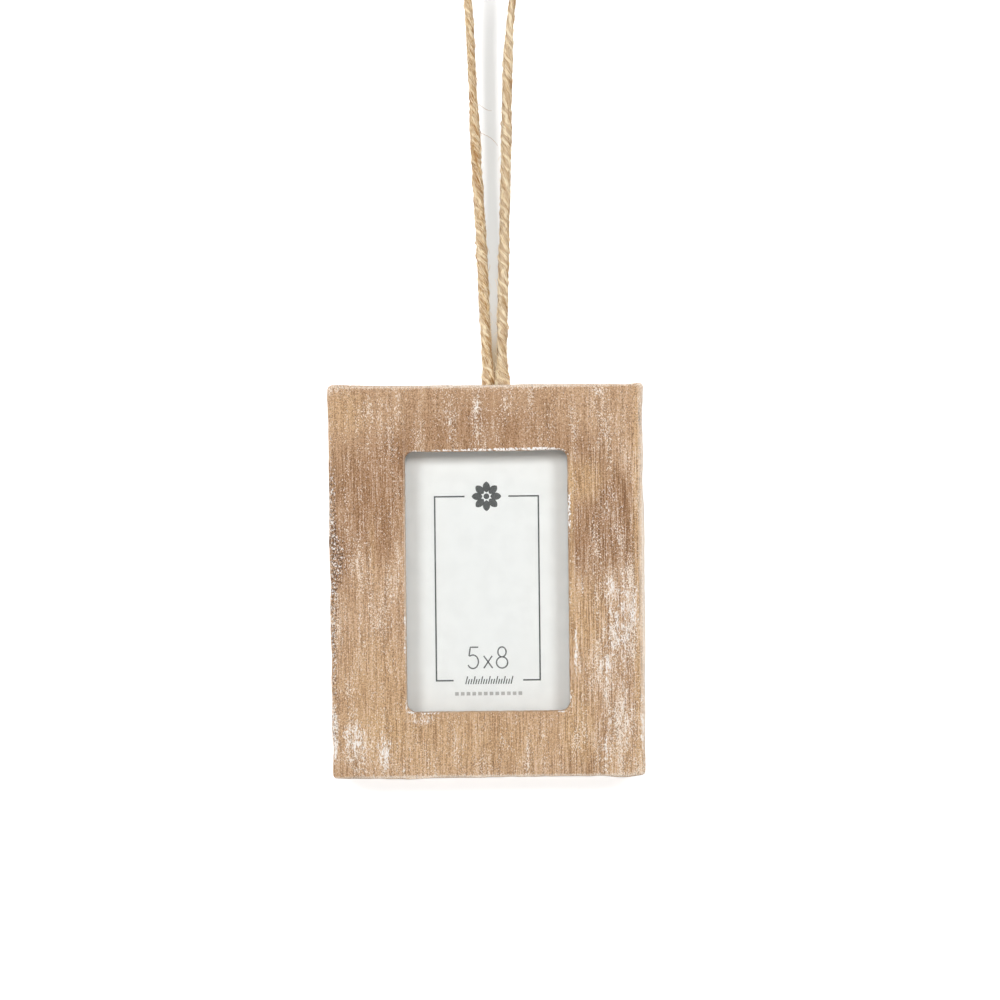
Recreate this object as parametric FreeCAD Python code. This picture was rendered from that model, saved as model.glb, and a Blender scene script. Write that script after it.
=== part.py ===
import FreeCAD, Part
import math
import os

# Small hanging picture frame: one routed wooden board, the glazed stack in its back, and a loop of twine.
# Lengths are millimetres. +Z is up, the front faces -Y, and the twine hangs in the plane y = 0.
# The origin is where the hook touches, on the inside of the top of the twine loop.

# Wooden board
board_width = 81.3
board_height = 101.6
board_depth = 12.7
board_corner_radius = 1.2
board_edge_ease = 0.7
board_offset = -2.5  # of its middle from the twine's line
hang_drop = 132.75  # from the hook down to the board's top edge

# Stack behind the window, in order from the front
insert_width = 50.8
insert_height = 76.2
glass_thickness = 1.8
ink_thickness = 0.05
insert_thickness = 0.35
filler_thickness = 2.5
backing_thickness = 3.0
rabbet_clearance = 0.4
rabbet_corner_radius = 1.2
filler_margin = 0.6  # the filler is cut this much smaller than the insert on each side

# Window through the board's lip
lip_overlap = 4.3  # of the lip over the insert, on each side
window_corner_radius = 2.3
window_rim_ease = 0.5

# Printing on the insert
border_width = 27.0
border_height = 47.9
border_drop = 2.0  # of the border's middle below the insert's middle
border_line = 0.38
border_gap_top = 11.4
border_gap_bottom = 18.1
rosette_petals = 8
rosette_inner_radius = 1.0
rosette_outer_radius = 3.85
petal_half_width = 0.95
rosette_eye_radius = 0.75

# Twine and its hole, drilled down into the board's top edge
twine_diameter = 2.5
twine_hole_diameter = 7.0
twine_hole_depth = 9.5
twine_spread = 1.7  # of each end from the middle of the hole

# Turn buttons on the back
button_overlap = 5.6  # of a button's tip over the backing
button_pivot_radius = 3.6
button_tip_radius = 2.5
button_thickness = 0.8
button_tip_lift = 1.0
button_bend_length = 2.6
button_flat_tip = 2.2
button_height_offset = 0.0  # of the pivots above the board's middle
button_play = 0.05

# Screws that the buttons turn on
screw_shank_radius = 1.1
screw_running_clearance = 0.08
screw_head_radius = 2.3
screw_head_height = 1.5
screw_head_rim = 0.5
screw_crown_radius = 1.3  # of the flat in the middle of the head
screw_length = 8.0
screw_point = 1.6
screw_recess_length = 2.4
screw_recess_width = 0.6
screw_recess_depth = 0.8
pilot_radius = 0.9
pilot_end_gap = 0.6

# Places that follow from the sizes
front_y = -board_depth / 2
back_y = board_depth / 2
board_top = -hang_drop
board_middle_z = board_top - board_height / 2
backing_front_y = back_y - backing_thickness
filler_front_y = backing_front_y - filler_thickness
insert_front_y = filler_front_y - insert_thickness
glass_front_y = insert_front_y - ink_thickness - glass_thickness
window_width = insert_width - 2 * lip_overlap
window_height = insert_height - 2 * lip_overlap
rabbet_width = insert_width + 2 * rabbet_clearance
rabbet_height = insert_height + 2 * rabbet_clearance
pivot_inset = (board_width - rabbet_width) / 4  # the middle of the back's side rail
pivot_x = board_width / 2 - pivot_inset
pivot_z = board_middle_z + button_height_offset
button_reach = pivot_inset + button_overlap


def vec(x, y, z):
    return FreeCAD.Vector(x, y, z)


def save(shape, node):
    """Writes one piece, after a look at its solids."""
    if not shape.isValid() or not shape.Solids:
        raise ValueError(node + " is not a sound solid")
    print(f"{node}: {len(shape.Solids)} solid(s), {shape.Volume:.2f} mm3")
    shape.exportStep(os.path.join("parts", node + ".step"))


def plate(width, height, front, thickness, corner_radius=0.0):
    """An upright plate centred on the board's middle, with rounded corners where a radius is given."""
    corner = vec(board_offset - width / 2, front, board_middle_z - height / 2)
    solid = Part.makeBox(width, thickness, height, corner)
    if corner_radius > 0:
        solid = solid.makeFillet(corner_radius, edges_along_y(solid))
    return solid


def edges_along_y(solid):
    return [edge for edge in solid.Edges if edge.BoundBox.YLength > edge.Length * 0.99]


def edges_in_plane(solid, y, half_width, half_height):
    """Edges that lie in the plane y and within a rectangle about the board's middle."""
    found = []
    for edge in solid.Edges:
        box = edge.BoundBox
        flat = box.YLength < 1e-4 and abs(box.YMin - y) < 1e-4
        inside_x = max(abs(box.XMin - board_offset), abs(box.XMax - board_offset)) < half_width
        inside_z = max(abs(box.ZMin - board_middle_z), abs(box.ZMax - board_middle_z)) < half_height
        if flat and inside_x and inside_z:
            found.append(edge)
    return found


def tangent_route(points, report=None):
    """Straight runs joined by tangent arcs. Each arc's radius is 0.45 of its shorter run over the
    tangent of half the turn."""
    edges = []
    start = points[0]
    for before, corner, after in zip(points, points[1:], points[2:]):
        back = before - corner
        ahead = after - corner
        reach = 0.45 * min(back.Length, ahead.Length)
        back.normalize()
        ahead.normalize()
        half_turn = (math.pi - back.getAngle(ahead)) / 2
        radius = reach / math.tan(half_turn)
        arc_start = corner + back * reach
        arc_end = corner + ahead * reach
        inward = back + ahead
        inward.normalize()
        arc_middle = corner + inward * (math.hypot(radius, reach) - radius)
        edges.append(Part.LineSegment(start, arc_start).toShape())
        edges.append(Part.Arc(arc_start, arc_middle, arc_end).toShape())
        start = arc_end
        if report is not None:
            report.append(radius)
    edges.append(Part.LineSegment(start, points[-1]).toShape())
    return Part.Wire(edges)


def swept(route, profile):
    return route.makePipeShell([profile], True, False)


def make_board():
    """The board with its window, the rabbet in its back, the twine's hole and the screws' pilot holes."""
    board = plate(board_width, board_height, front_y, board_depth, board_corner_radius)
    rims = edges_in_plane(board, front_y, board_width, board_height)
    rims += edges_in_plane(board, back_y, board_width, board_height)
    board = board.makeFillet(board_edge_ease, rims)
    window = plate(window_width, window_height, front_y - 1, board_depth + 2, window_corner_radius)
    rabbet_depth = back_y - glass_front_y
    rabbet = plate(rabbet_width, rabbet_height, glass_front_y, rabbet_depth + 1, rabbet_corner_radius)
    board = board.cut(window).cut(rabbet)
    half_width = window_width / 2 + window_rim_ease
    half_height = window_height / 2 + window_rim_ease
    board = board.makeFillet(window_rim_ease, edges_in_plane(board, front_y, half_width, half_height))
    mouth = vec(0, 0, board_top)
    board = board.cut(Part.makeCylinder(twine_hole_diameter / 2, twine_hole_depth, mouth, vec(0, 0, -1)))
    pilot_depth = screw_length + pilot_end_gap - button_thickness - 2 * button_play
    for side in (-1, 1):
        entry = vec(board_offset + side * pivot_x, back_y, pivot_z)
        board = board.cut(Part.makeCylinder(pilot_radius, pilot_depth, entry, vec(0, -1, 0)))
    return board


def ink_bar(x, z, width, height):
    """A printed bar on the insert's face, from its middle measured from the middle of the insert."""
    front = insert_front_y - ink_thickness
    corner = vec(board_offset + x - width / 2, front, board_middle_z + z - height / 2)
    return Part.makeBox(width, ink_thickness, height, corner)


def make_border():
    """The thin printed rectangle, open at the middle of its top and its bottom."""
    top = border_height / 2 - border_drop
    bottom = -border_height / 2 - border_drop
    side_x = border_width / 2
    bars = []
    for side in (-1, 1):
        bars.append(ink_bar(side * side_x, -border_drop, border_line, border_height + border_line))
        for z, gap in ((top, border_gap_top), (bottom, border_gap_bottom)):
            run = side_x - gap / 2
            bars.append(ink_bar(side * (gap / 2 + run / 2), z, run, border_line))
    return bars[0].multiFuse(bars[1:]).removeSplitter()


def make_rosette():
    """A ring of pointed petals round an eye. A petal is where two equal discs overlap."""
    centre_z = board_middle_z + border_height / 2 - border_drop
    front = insert_front_y - ink_thickness
    half_length = (rosette_outer_radius - rosette_inner_radius) / 2
    disc_radius = (half_length**2 + petal_half_width**2) / (2 * petal_half_width)
    petal_middle = (rosette_outer_radius + rosette_inner_radius) / 2
    centre = vec(board_offset, front, centre_z)
    away = vec(0, 1, 0)
    offset = disc_radius - petal_half_width
    discs = []
    for side in (-1, 1):
        at = centre + vec(side * offset, 0, petal_middle)
        discs.append(Part.makeCylinder(disc_radius, ink_thickness, at, away))
    petal = discs[0].common(discs[1])
    pieces = [Part.makeCylinder(rosette_eye_radius, ink_thickness, centre, away)]
    for number in range(rosette_petals):
        turned = petal.copy()
        turned.rotate(centre, away, 360 * number / rosette_petals)
        pieces.append(turned)
    return pieces


def make_print():
    """All the insert's ink, as one film."""
    return Part.makeCompound(make_border().Solids + [s for piece in make_rosette() for s in piece.Solids])


def twine_points():
    """The twine's route, from its left end in the hole, round the loop and back to its right end."""
    end_z = board_top - twine_hole_depth
    return [
        vec(-twine_spread, 0.0, end_z),
        vec(-1.5, 0.1, -131.5),
        vec(-2.2, 0.3, -120.5),
        vec(-2.7, 0.2, -99.0),
        vec(-4.3, -0.3, -68.0),
        vec(-5.3, 0.1, -38.5),
        vec(-6.6, 0.3, -21.0),
        vec(-8.2, 0.1, -11.8),
        vec(-8.7, 0.0, -4.2),
        vec(-3.6, 0.0, 1.3),
        vec(3.9, 0.0, 1.2),
        vec(8.8, 0.0, -4.3),
        vec(8.3, -0.1, -12.0),
        vec(7.1, -0.2, -22.0),
        vec(4.7, 0.2, -42.0),
        vec(3.9, 0.5, -72.0),
        vec(2.5, 0.1, -103.0),
        vec(1.9, -0.2, -122.5),
        vec(1.95, -0.1, -132.0),
        vec(twine_spread, 0.0, end_z),
    ]


def make_twine():
    """A plain round tube along the twine's route."""
    radii = []
    points = twine_points()
    route = tangent_route(points, radii)
    start_circle = Part.Circle(points[0], points[1] - points[0], twine_diameter / 2)
    tube = swept(route, Part.Wire([start_circle.toShape()]))
    straight_volume = math.pi * twine_diameter**2 / 4 * route.Length
    print("twine radii, mm:", [round(radius, 1) for radius in radii])
    print(f"twine length {route.Length:.1f} mm")
    print(f"twine volume over section times length {tube.Volume / straight_volume:.4f}")
    return tube


def button_plan(length):
    """The button seen flat: a large round end on the pivot, tapering to a small round tip."""
    tip_x = button_reach - button_tip_radius
    cos_tangent = (button_pivot_radius - button_tip_radius) / tip_x
    sin_tangent = math.sqrt(1 - cos_tangent**2)

    def on_circle(centre_x, radius, sign):
        return vec(centre_x + radius * cos_tangent, 0, sign * radius * sin_tangent)

    heel = [on_circle(0, button_pivot_radius, sign) for sign in (1, -1)]
    tip = [on_circle(tip_x, button_tip_radius, sign) for sign in (-1, 1)]
    edges = [
        Part.Arc(heel[0], vec(-button_pivot_radius, 0, 0), heel[1]).toShape(),
        Part.LineSegment(heel[1], tip[0]).toShape(),
        Part.Arc(tip[0], vec(button_reach, 0, 0), tip[1]).toShape(),
        Part.LineSegment(tip[1], heel[0]).toShape(),
    ]
    return Part.Face(Part.Wire(edges)).extrude(vec(0, length, 0))


def make_button():
    """A strip bent up near its tip for a fingernail, cut to the plan and drilled for its screw.
    The pivot is at the local origin, the arm points along +X and the wood is below y = 0."""
    middle = button_thickness / 2
    lift = middle + button_tip_lift
    bend_end = button_reach - button_flat_tip
    bend_start = bend_end - button_bend_length
    heel_x = -button_pivot_radius - 1
    route = tangent_route([
        vec(heel_x, middle, 0),
        vec(bend_start, middle, 0),
        vec(bend_end, lift, 0),
        vec(button_reach + 1, lift, 0),
    ])
    half_width = button_pivot_radius + 1
    corners = [
        vec(heel_x, 0, -half_width),
        vec(heel_x, button_thickness, -half_width),
        vec(heel_x, button_thickness, half_width),
        vec(heel_x, 0, half_width),
    ]
    strip = swept(route, Part.makePolygon(corners + corners[:1]))
    button = strip.common(button_plan(lift + button_thickness))
    hole_radius = screw_shank_radius + screw_running_clearance
    button = button.cut(Part.makeCylinder(hole_radius, button_thickness, vec(0, 0, 0), vec(0, 1, 0)))
    return button.Solids[0]


def make_screw():
    """A screw with a bevelled head and a cross recess, its underhead at y = 0, its point at -Y."""
    points = [
        vec(screw_head_radius, screw_head_rim, 0),
        vec(screw_head_radius, 0, 0),
        vec(screw_shank_radius, 0, 0),
        vec(screw_shank_radius, screw_point - screw_length, 0),
        vec(0, -screw_length, 0),
        vec(0, screw_head_height, 0),
        vec(screw_crown_radius, screw_head_height, 0),
    ]
    profile = Part.Face(Part.makePolygon(points + points[:1]))
    screw = profile.revolve(vec(0, 0, 0), vec(0, 1, 0), 360)
    for length, width in (
        (screw_recess_length, screw_recess_width),
        (screw_recess_width, screw_recess_length),
    ):
        corner = vec(-length / 2, screw_head_height - screw_recess_depth, -width / 2)
        screw = screw.cut(Part.makeBox(length, screw_recess_depth + 1, width, corner))
    return screw


def placed(shape, side, y):
    """A copy with its pivot on the board's back, turned so that its arm points at the backing."""
    copy = shape.copy()
    if side > 0:
        copy.rotate(vec(0, 0, 0), vec(0, 1, 0), 180)
    copy.translate(vec(board_offset + side * pivot_x, y, pivot_z))
    return copy


save(make_board(), "frame_board")
save(plate(insert_width, insert_height, glass_front_y, glass_thickness), "glass_pane")
save(plate(insert_width, insert_height, insert_front_y, insert_thickness), "photo_insert")
save(make_print(), "insert_print")
filler_width = insert_width - 2 * filler_margin
filler_height = insert_height - 2 * filler_margin
save(plate(filler_width, filler_height, filler_front_y, filler_thickness), "filler_card")
save(plate(insert_width, insert_height, backing_front_y, backing_thickness), "backing_board")
save(make_twine(), "twine_loop")

button = make_button()
screw = make_screw()
button_y = back_y + button_play
screw_y = button_y + button_thickness + button_play
for side, name in ((-1, "left"), (1, "right")):
    save(placed(button, side, button_y), "turn_button_" + name)
    save(placed(screw, side, screw_y), "button_screw_" + name)
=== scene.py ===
import math

import bpy
import numpy as np
from mathutils import Matrix, Vector


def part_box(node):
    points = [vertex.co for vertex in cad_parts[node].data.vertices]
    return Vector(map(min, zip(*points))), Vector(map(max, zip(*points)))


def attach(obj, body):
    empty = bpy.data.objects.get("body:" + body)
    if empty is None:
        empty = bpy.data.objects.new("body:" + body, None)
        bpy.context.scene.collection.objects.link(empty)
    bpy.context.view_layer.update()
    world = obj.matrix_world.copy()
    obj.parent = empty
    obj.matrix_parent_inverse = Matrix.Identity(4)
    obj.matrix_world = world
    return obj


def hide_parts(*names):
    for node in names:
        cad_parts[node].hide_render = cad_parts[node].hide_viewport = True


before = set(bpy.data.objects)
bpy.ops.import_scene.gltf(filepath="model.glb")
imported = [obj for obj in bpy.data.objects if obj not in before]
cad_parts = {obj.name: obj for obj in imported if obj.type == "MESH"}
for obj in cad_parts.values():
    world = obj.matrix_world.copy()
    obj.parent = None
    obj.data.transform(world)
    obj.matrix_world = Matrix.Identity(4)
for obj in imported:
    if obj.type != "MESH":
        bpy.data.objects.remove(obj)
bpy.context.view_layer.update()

# Small hanging picture frame: a whitewashed board with a window, a glazed card insert, turn
# buttons on the back and a loop of jute twine. Everything is in metres, in the frame's own axes:
# +Z is up, the front faces -Y, and the origin is where the hook touches the twine.

bl_info = {
    "name": "Hanging Picture Frame",
    "version": (1, 0, 0),
    "blender": (4, 5, 0),
    "location": "View3D > Sidebar > Picture Frame",
    "description": "Dresses a small hanging picture frame: wood, glass, printed card and jute twine",
    "category": "Object",
}

MM = 0.001
BOARD_LOW, BOARD_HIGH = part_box("frame_board")
CARD_LOW, CARD_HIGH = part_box("photo_insert")
PRINT_LOW, PRINT_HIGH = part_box("insert_print")
GLASS_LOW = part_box("glass_pane")[0]
BOARD_MIDDLE = (BOARD_LOW + BOARD_HIGH) / 2
CARD_MIDDLE = (CARD_LOW + CARD_HIGH) / 2


def tone(red, green, blue):
    """A colour as the eye reads it, 0 to 255 a channel, as the linear values that a shader takes."""
    shares = np.array([red, green, blue]) / 255
    linear = np.where(shares > 0.04045, ((shares + 0.055) / 1.055) ** 2.4, shares / 12.92)
    return tuple(float(value) for value in linear)


def setting(kind, **usual):
    """A function that makes settings of one kind from a name, a description and a default."""

    def make(name, description, default):
        return kind(name=name, description=description, default=default, **usual)

    return make


a_length = setting(bpy.props.FloatProperty, min=0, precision=5, unit="LENGTH")
a_place = setting(bpy.props.FloatProperty, precision=5, unit="LENGTH")
a_share = setting(bpy.props.FloatProperty, min=0, max=1, subtype="FACTOR")
a_power = setting(bpy.props.FloatProperty, min=0, unit="POWER")
an_angle = setting(bpy.props.FloatProperty, subtype="ANGLE")
a_count = setting(bpy.props.IntProperty, min=1)
a_colour = setting(bpy.props.FloatVectorProperty, size=3, min=0, max=1, subtype="COLOR")


class BoardSettings(bpy.types.PropertyGroup):
    """Sizes and colours of the wooden board."""

    corner_radius: a_length("Corner Radius", "Of the board's four outer corners", 1.2 * MM)
    edge_ease: a_length("Edge Ease", "Rounding of the outer edges, front and back", 0.7 * MM)
    lip_overlap: a_length("Lip Overlap", "How far the lip covers the insert", 4.3 * MM)
    window_radius: a_length("Window Radius", "Of the window's corners", 2.3 * MM)
    rim_ease: a_length("Rim Ease", "Rounding of the window's front rim", 0.45 * MM)
    rabbet_gap: a_length("Rabbet Gap", "Between the insert and the rabbet's wall", 0.4 * MM)
    rabbet_radius: a_length("Rabbet Radius", "Of the rabbet's corners", 1.2 * MM)
    hole_diameter: a_length("Twine Hole", "Diameter of the hole in the top edge", 7.0 * MM)
    hole_depth: a_length("Twine Hole Depth", "Depth of the hole in the top edge", 9.5 * MM)
    waviness: a_length("Waviness", "How far the worn edges wander from straight", 0.16 * MM)
    warm_wood: a_colour("Warm Wood", "The wood's usual colour", tone(202, 165, 129))
    deep_wood: a_colour("Deep Wood", "The browner parts", tone(168, 127, 91))
    golden_wood: a_colour("Golden Wood", "Rubbed, cleaner wood", tone(217, 179, 132))
    shade: a_colour("Fibre Shade", "Tints the dark fibres", tone(190, 180, 170))
    pore: a_colour("Pores", "Dark pores and dents", tone(92, 64, 44))
    whitewash: a_colour("Whitewash", "White paint left in the grain", tone(250, 245, 241))
    cream: a_colour("Cream Flecks", "Thin paint rubbed into the grain", tone(246, 233, 218))


class TwineSettings(bpy.types.PropertyGroup):
    """Sizes and colours of the jute twine."""

    diameter: a_length("Diameter", "Over the crowns of the plies", 2.5 * MM)
    plies: a_count("Plies", "Number of yarns laid up together", 3)
    lay_pitch: a_length("Lay Pitch", "Length in which a ply goes round once", 10.8 * MM)
    loose_fibres: a_count("Loose Fibres", "Number of hairs on the twine", 2600)
    light_jute: a_colour("Light Jute", "Fibres in the light", tone(247, 231, 200))
    mid_jute: a_colour("Mid Jute", "The twine's usual colour", tone(223, 192, 141))
    dark_jute: a_colour("Dark Jute", "Between plies and fibres", tone(156, 106, 47))


class InsertSettings(bpy.types.PropertyGroup):
    """Sizes and colours of the glass, the card and its print."""

    card: a_colour("Card", "The white card", tone(240, 242, 241))
    ink: a_colour("Ink", "The border and the ornament", tone(54, 58, 57))
    numeral_ink: a_colour("Numeral Ink", "The size numerals", tone(84, 86, 86))
    pale_ink: a_colour("Pale Ink", "The lowest row of marks", tone(176, 176, 174))
    numeral_height: a_length("Numeral Height", "Of the print's size numerals", 5.6 * MM)
    numeral_stroke: a_length("Numeral Stroke", "Width of the numerals' lines", 0.34 * MM)
    glass_reflection: a_share("Glass Reflection", "Of light that meets it head on", 0.04)


class BackSettings(bpy.types.PropertyGroup):
    """Colours of what closes the back."""

    hardboard: a_colour("Hardboard", "Smooth brown hardboard", tone(134, 98, 68))
    hardboard_dark: a_colour("Hardboard Dark", "Its darker fibres", tone(96, 66, 44))
    grey_board: a_colour("Grey Board", "Plain recycled board", tone(164, 160, 152))
    plating: a_colour("Plating", "Bright plating on the turn buttons", tone(184, 182, 176))
    screw: a_colour("Screw", "Plated screws", tone(176, 174, 168))


class StageSettings(bpy.types.PropertyGroup):
    """Camera, lights, floor and backdrop."""

    camera_distance: a_length("Camera Distance", "From the board's front", 0.9)
    view_width: a_length("View Width", "What the picture takes in at the front", 258.4 * MM)
    view_across: a_place("View Across", "Middle of the view", 1.03 * MM)
    view_height: a_place("View Height", "Middle of the view", -162.6 * MM)
    camera_roll: an_angle("Camera Roll", "Turn of the picture", math.radians(0.62))
    backdrop_gap: a_length("Backdrop Gap", "From the middle of the board", 9.6 * MM)
    floor_drop: a_length("Floor Drop", "From the board's foot", 72 * MM)
    # Painted shade on the backdrop between the twine's strands: a haze high up, a darker painted shadow
    # lower down, and the darkest where the strands meet.
    painted_gap_haze: a_colour("Gap Haze", "The backdrop high between the strands", tone(183, 184, 183))
    painted_gap_shade: a_colour("Gap Shade", "The same lower down", tone(143, 130, 111))
    painted_gap_foot: a_colour("Gap Foot", "The same where the strands meet", tone(102, 75, 44))
    paper_glow: a_share("Paper Glow", "Of the backdrop, and of the floor near the frame", 0.66)
    key_power: a_power("Key Power", "Of the two front lamps, on average", 5.4)
    key_lean: a_share("Key Lean", "How much stronger the left one is, and weaker the right", 0.03)
    side_power: a_power("Side Power", "Of the softboxes beside it, on average", 3.4)
    side_lean: a_share("Side Lean", "How much stronger the left one is, and weaker the right", 0.5)
    front_power: a_power("Front Power", "Of the lamp above the front", 2.1)
    top_power: a_power("Top Power", "Of the lamp overhead", 3.4)
    rear_power: a_power("Rear Power", "Of the lamp behind", 8.0)
    fill: a_share("Fill", "Strength of the light from all round", 0.05)


# Shapes


def new_object(name, points, faces, material=None):
    """A mesh object at the origin from an array of points and a list or array of faces."""
    mesh = bpy.data.meshes.new(name)
    faces = faces.tolist() if isinstance(faces, np.ndarray) else faces
    mesh.from_pydata(np.asarray(points, float).tolist(), [], faces)
    mesh.update()
    if material:
        mesh.materials.append(material)
    made = bpy.data.objects.new(name, mesh)
    bpy.context.scene.collection.objects.link(made)
    return made


def smooth(mesh, angle):
    """Shades a mesh smooth, apart from edges where it turns by more than the angle in degrees."""
    mesh.shade_smooth()
    mesh.set_sharp_from_angle(angle=math.radians(angle))


def make_piece(name, points, faces, slot, material, smooth_angle=None):
    """A visible piece of the frame's fixed body."""
    piece = new_object(name, points, faces, material)
    if smooth_angle is not None:
        smooth(piece.data, smooth_angle)
    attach(piece, "frame")
    return piece


def grid_faces(rows, columns, closed_rows, closed_columns):
    """Quads of a grid whose point (row, column) has the number row * columns + column."""
    row = np.arange(rows if closed_rows else rows - 1)[:, None]
    column = np.arange(columns if closed_columns else columns - 1)[None, :]
    next_row, next_column = (row + 1) % rows, (column + 1) % columns
    corners = (
        row * columns + column,
        row * columns + next_column,
        next_row * columns + next_column,
        next_row * columns + column,
    )
    return np.stack(np.broadcast_arrays(*corners), axis=-1).reshape(-1, 4)


def tube_faces(rows, columns):
    """Faces of a grid that closes round its columns, with a cap at its first and last rows."""
    last = (rows - 1) * columns
    caps = [list(range(columns))[::-1], list(range(last, last + columns))]
    return grid_faces(rows, columns, False, True).tolist() + caps


def wander(share, waves, seed):
    """A smooth random line about zero, of height about one, that closes on itself: a sum of
    cosines with 1 to `waves` turns round the loop, where share runs from 0 to 1."""
    dice = np.random.default_rng(seed)
    turns = np.arange(1, waves + 1)
    phase = dice.uniform(0, 2 * np.pi, waves)
    height = dice.normal(0, 1, waves)
    angles = 2 * np.pi * share[..., None] * turns + phase
    return (np.cos(angles) * height).sum(-1) / math.sqrt(waves / 2)


def ripple(across, up, across_size, up_size, seed, waves=24):
    """Smooth random relief of height about one over a flat face: a sum of plane waves whose
    lengths across and up are near the two sizes."""
    dice = np.random.default_rng(seed)
    across_rate = dice.normal(0, 1, waves) / across_size
    up_rate = dice.normal(0, 1, waves) / up_size
    phase = dice.uniform(0, 2 * np.pi, waves)
    total = np.zeros(np.shape(across))
    for rate_x, rate_z, start in zip(across_rate, up_rate, phase):
        total += np.cos(2 * np.pi * (across * rate_x + up * rate_z) / 2 + start)
    return total / math.sqrt(waves / 2)


def smooth_step(low, high, value):
    share = np.clip((value - low) / (high - low), 0, 1)
    return share * share * (3 - 2 * share)


# How many points an outline has along its top and its foot, up each side and round each corner.
ACROSS, UPRIGHT, CORNER = 160, 208, 8


def rounded_outline(half_width, half_height, radius):
    """Points (x, z) and outward normals of a rounded rectangle about the board's middle,
    anticlockwise from the front: four straight sides of evenly spaced points, each followed by
    a quarter circle. All outlines match point to point."""
    points, normals = [], []
    sides = ((0, -1, ACROSS), (1, 0, UPRIGHT), (0, 1, ACROSS), (-1, 0, UPRIGHT))
    reach_x, reach_z = half_width - radius, half_height - radius
    centres = ((reach_x, -reach_z), (reach_x, reach_z), (-reach_x, reach_z), (-reach_x, -reach_z))
    for number, (normal_x, normal_z, count) in enumerate(sides):
        before, centre = np.array(centres[number - 1]), np.array(centres[number])
        normal = np.array([normal_x, normal_z], float)
        share = np.linspace(0, 1, count, endpoint=False)[:, None]
        points.append(before + radius * normal + share * (centre - before))
        normals.append(np.broadcast_to(normal, (count, 2)))
        start = math.atan2(normal_z, normal_x)
        angle = start + np.linspace(0, np.pi / 2, CORNER, endpoint=False)
        round_it = np.column_stack((np.cos(angle), np.sin(angle)))
        points.append(centre + radius * round_it)
        normals.append(round_it)
    middle = np.array([BOARD_MIDDLE.x, BOARD_MIDDLE.z])
    return np.concatenate(points) + middle, np.concatenate(normals)


def even_then_fine(count, fine):
    """Shares from 0 to 1 that are closer together near both ends."""
    even = np.linspace(0, 1, count)
    eased = (1 - np.cos(np.pi * even)) / 2
    return (1 - fine) * even + fine * eased


def board_outlines(board):
    """The outer edge, the window and the rabbet as matching outlines."""
    lip, gap = board.lip_overlap, board.rabbet_gap
    card = (CARD_HIGH - CARD_LOW) / 2
    size = (BOARD_HIGH - BOARD_LOW) / 2
    outer = rounded_outline(size.x, size.z, board.corner_radius)
    window = rounded_outline(card.x - lip, card.z - lip, board.window_radius)
    rabbet = rounded_outline(card.x + gap, card.z + gap, board.rabbet_radius)
    return outer, window, rabbet


# Where the outer edge has lost wood, in millimetres: along from the board's left and bottom
# edges, half the length of the dip, and its depth, which is negative where the edge stands out.
OUTER_DIPS = (
    (81.3, 0, 3, 0.25), (81.3, 13, 8, 0.20), (0, 0, 4, 0.22),
    (38, 101.6, 5, 0.10), (0, 101.6, 9, -0.34), (53, 101.6, 6, -0.12),
    (0, 62.5, 4, -0.20), (0, 50, 3, 0.26), (0, 31, 5, 0.28),
    (0, 19.5, 4, 0.26), (0, 7, 3.5, 0.42), (76.5, 101.6, 3, 0.20),
    (81.3, 92, 3, 0.18), (81.3, 75.4, 3.5, 0.26), (81.3, 25.5, 3, 0.16),
    (81.3, 7, 3, 0.20), (60, 0, 6, 0.12), (75, 0, 4, -0.42),
    (18.3, 0, 5, -0.26), (81.3, 54, 17, -0.20), (81.3, 101.6, 3, -0.28),
    (70.2, 0, 2.5, 0.25),
)
# Where the window's rim is chipped away further, in the same way.
RIM_CHIPS = (
    (28, 84.7, 8, -0.30), (38, 84.7, 5, -0.20), (47, 84.7, 6, -0.32),
    (57.5, 84.7, 2, 0.20), (61.2, 83.8, 1.6, 0.28), (61.8, 69, 5, 0.26),
    (19.5, 41.3, 0.9, 0.45), (19.5, 33.2, 0.9, 0.45), (20.3, 17.8, 1.5, 0.40),
    (61.3, 19.8, 1.4, 0.45), (59.4, 17.1, 1.4, 0.35), (19.8, 84, 1.5, 0.25),
)
# Where the window's edge stands in a little.
RIM_SWELLS = ((30, 84.6, 9, 0.20), (46, 84.6, 9, 0.20))


def from_corner(points):
    """Millimetres along from the board's left edge and up from its bottom edge."""
    return (points[:, 0] - BOARD_LOW.x) / MM, (points[:, -1] - BOARD_LOW.z) / MM


def wear_depth(points, places):
    """How much is worn off at each point of an outline: a soft bell at each listed place."""
    along, up = from_corner(points)
    depth = np.zeros(len(points))
    for place_along, place_up, reach, most in places:
        away = ((along - place_along) ** 2 + (up - place_up) ** 2) / reach**2
        depth += most * MM * np.exp(-away)
    return depth


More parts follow.
